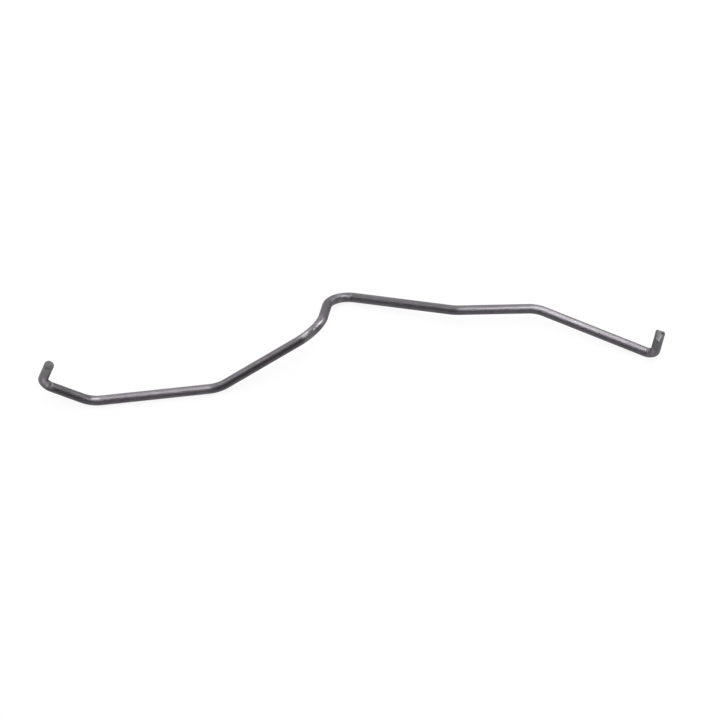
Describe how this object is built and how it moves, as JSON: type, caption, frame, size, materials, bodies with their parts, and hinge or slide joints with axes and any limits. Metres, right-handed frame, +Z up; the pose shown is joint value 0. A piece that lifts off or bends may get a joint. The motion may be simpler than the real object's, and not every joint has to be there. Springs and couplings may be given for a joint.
{
  "type": "throttle rod",
  "caption": "Long thin steel wire throttle rod with a cranked middle and an upright hooked leg at each end, joining a trigger to a carburettor lever.",
  "frame": {"origin": "middle of the rod's outline seen from above, on the floor that it lies on", "axes": "+X along the rod, from the trigger hook to the carburettor hook; +Y to the side that the dip of the crank lies on; +Z up, the way both hooks point"},
  "size_m": [0.125, 0.0258, 0.0118],
  "materials": {
    "rod": "dark oxidised, satin"
  },
  "bodies": {
    "root": {"rod": "rod"}
  },
  "joints": []
}
